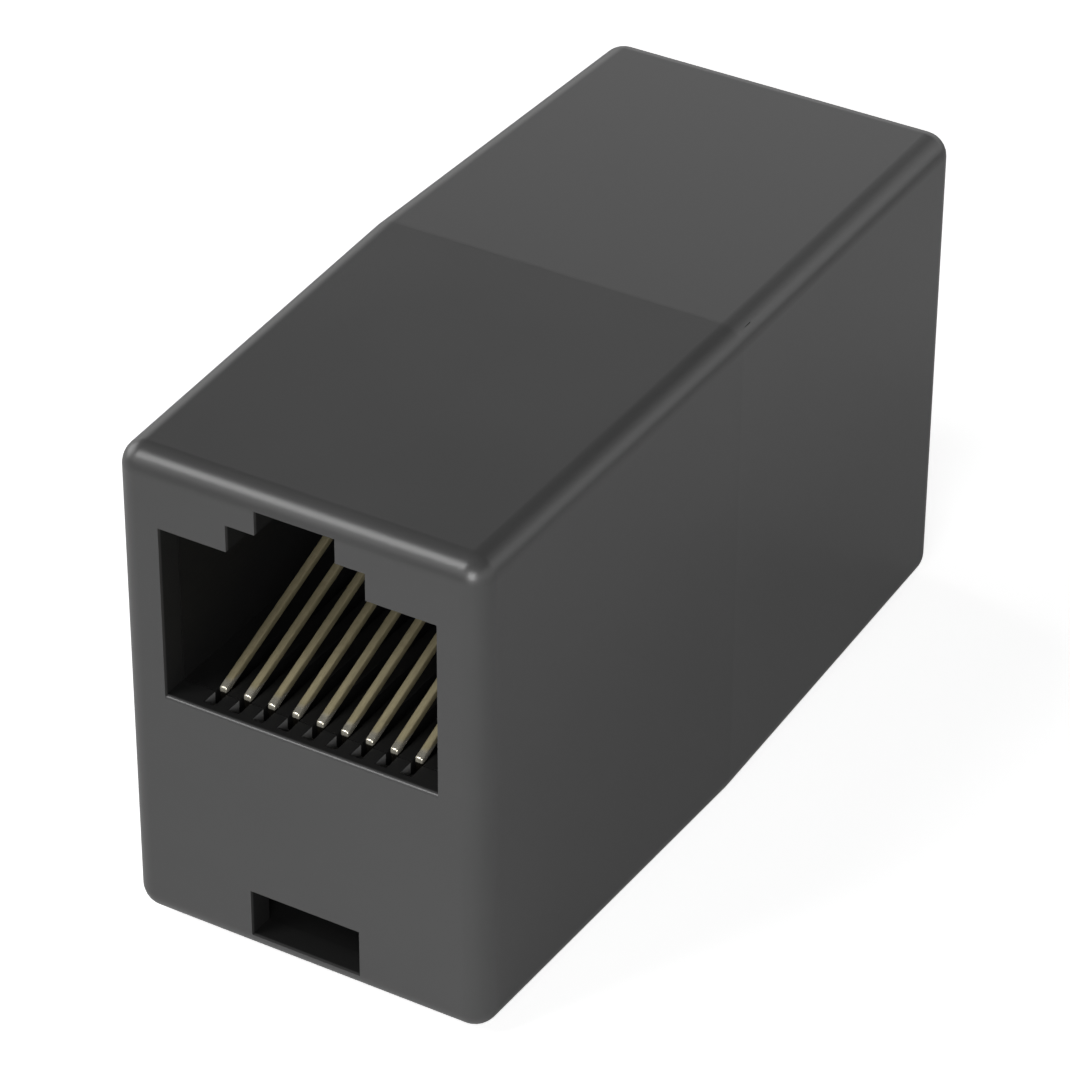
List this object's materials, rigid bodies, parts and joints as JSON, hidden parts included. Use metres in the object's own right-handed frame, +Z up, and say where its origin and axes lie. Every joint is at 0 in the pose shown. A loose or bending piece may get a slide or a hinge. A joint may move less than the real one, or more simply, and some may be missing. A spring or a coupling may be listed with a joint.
{
  "type": "rj45 inline coupler",
  "caption": "Straight inline coupler that joins two network patch leads end to end: a rounded box in two halves with a modular jack in each end.",
  "frame": {"origin": "on the underside, below the middle of the seam between the two halves", "axes": "+Y along the body, one jack faces -Y and its twin faces +Y; +Z up, towards the latch notches of both jacks"},
  "size_m": [0.0162, 0.0362, 0.0216],
  "materials": {
    "housing": "black ABS moulding with a fine satin texture",
    "carrier": "matt black moulding",
    "contact": "thinly gilded spring strip, dull",
    "board": "green solder mask",
    "solder": "bright solder"
  },
  "bodies": {
    "root": {"front_shell": "housing", "rear_shell": "housing", "front_insert": "carrier", "rear_insert": "carrier", "circuit_board": "board", "front_solder": "solder", "rear_solder": "solder", "front_contact_1": "contact", "front_contact_2": "contact", "front_contact_3": "contact", "front_contact_4": "contact", "front_contact_5": "contact", "front_contact_6": "contact", "front_contact_7": "contact", "front_contact_8": "contact", "front_contact_9": "contact", "rear_contact_1": "contact", "rear_contact_2": "contact", "rear_contact_3": "contact", "rear_contact_4": "contact", "rear_contact_5": "contact", "rear_contact_6": "contact", "rear_contact_7": "contact", "rear_contact_8": "contact", "rear_contact_9": "contact"}
  },
  "joints": []
}
